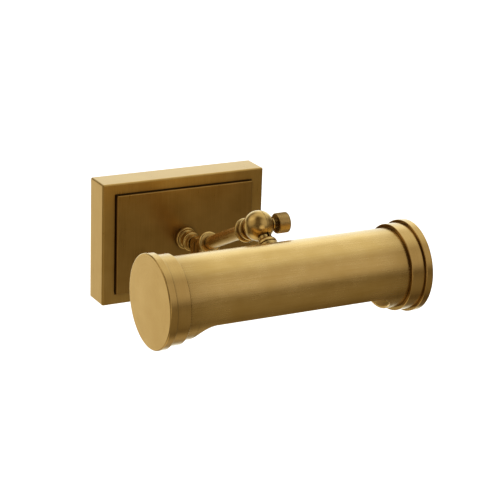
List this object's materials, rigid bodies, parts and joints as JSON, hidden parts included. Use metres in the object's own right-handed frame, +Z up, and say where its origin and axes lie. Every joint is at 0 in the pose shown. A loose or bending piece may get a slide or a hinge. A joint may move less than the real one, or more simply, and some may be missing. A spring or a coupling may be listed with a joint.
{
  "type": "picture light",
  "caption": "Wall-mounted brass picture light: rectangular plate, hinged arm, ball swivel with thumbscrew and a half-open cylindrical shade around a tubular lamp.",
  "frame": {"origin": "centre of the box strap's two slots, on the wall plane at the plate's open back rim", "axes": "+X along the shade to the viewer's right, +Y into the wall, +Z up"},
  "size_m": [0.1724, 0.1814, 0.089],
  "materials": {
    "satin_brass": "satin, antiqued",
    "zinc_steel": "zinc plated",
    "green_enamel": "enamelled",
    "nylon": "moulded",
    "phenolic": "moulded",
    "contact_brass": "bright",
    "nickel": "drawn",
    "opal_glass": "opal",
    "filament": "coated"
  },
  "bodies": {
    "wall_mount": {"canopy": "satin_brass", "face_panel": "satin_brass", "stub": "satin_brass", "threaded_nipple": "satin_brass", "nipple_lock_washer": "zinc_steel", "nipple_nut": "zinc_steel", "nipple_bushing": "nylon", "box_strap": "zinc_steel", "canopy_hanger": "zinc_steel", "hanger_rivets": "zinc_steel", "ground_screw": "green_enamel", "canopy_screws": "satin_brass"},
    "arm": {"arm_knuckle": "satin_brass", "pivot_screw": "satin_brass", "pivot_washer": "nylon", "pivot_nut": "satin_brass", "arm_tube": "satin_brass", "arm_end_collar": "satin_brass", "swivel_inner": "satin_brass", "swivel_washer": "satin_brass"},
    "shade": {"swivel_outer": "satin_brass", "bell_collar": "satin_brass", "shade_stem": "satin_brass", "shade_lock_washer": "zinc_steel", "shade_nut": "zinc_steel", "shade_tube": "satin_brass", "end_ring_left": "satin_brass", "end_ring_right": "satin_brass", "end_cap_left": "satin_brass", "end_cap_right": "satin_brass", "holder_bracket": "zinc_steel", "lamp_holder": "phenolic", "holder_screw": "zinc_steel", "holder_shell": "contact_brass", "centre_contact": "contact_brass", "lamp_base": "nickel", "lamp_glass": "opal_glass", "lamp_filament": "filament"},
    "thumb_carrier": {"thumb_washer": "satin_brass"},
    "thumb": {"thumbscrew": "satin_brass"}
  },
  "joints": [
    {"name": "arm_tilt", "type": "hinge", "parent": "wall_mount", "child": "arm", "pos_m": [0, -0.0426, 0], "axis": [1, 0, 0], "range_deg": [-40, 45]},
    {"name": "shade_tilt", "type": "hinge", "parent": "arm", "child": "shade", "pos_m": [0, -0.12048, 0.03765], "axis": [1, 0, 0], "range_deg": [-60, 60]},
    {"name": "thumbscrew_travel", "type": "slide", "parent": "arm", "child": "thumb_carrier", "axis": [1, 0, 0], "range_m": [0, 0.0014]},
    {"name": "thumbscrew_turn", "type": "hinge", "parent": "thumb_carrier", "child": "thumb", "pos_m": [0, -0.12048, 0.03765], "axis": [1, 0, 0], "range_deg": [0, 720]}
  ],
  "couplings": [
    {"joint": "thumbscrew_turn", "follows": "thumbscrew_travel", "rad_per_m": 8975}
  ]
}
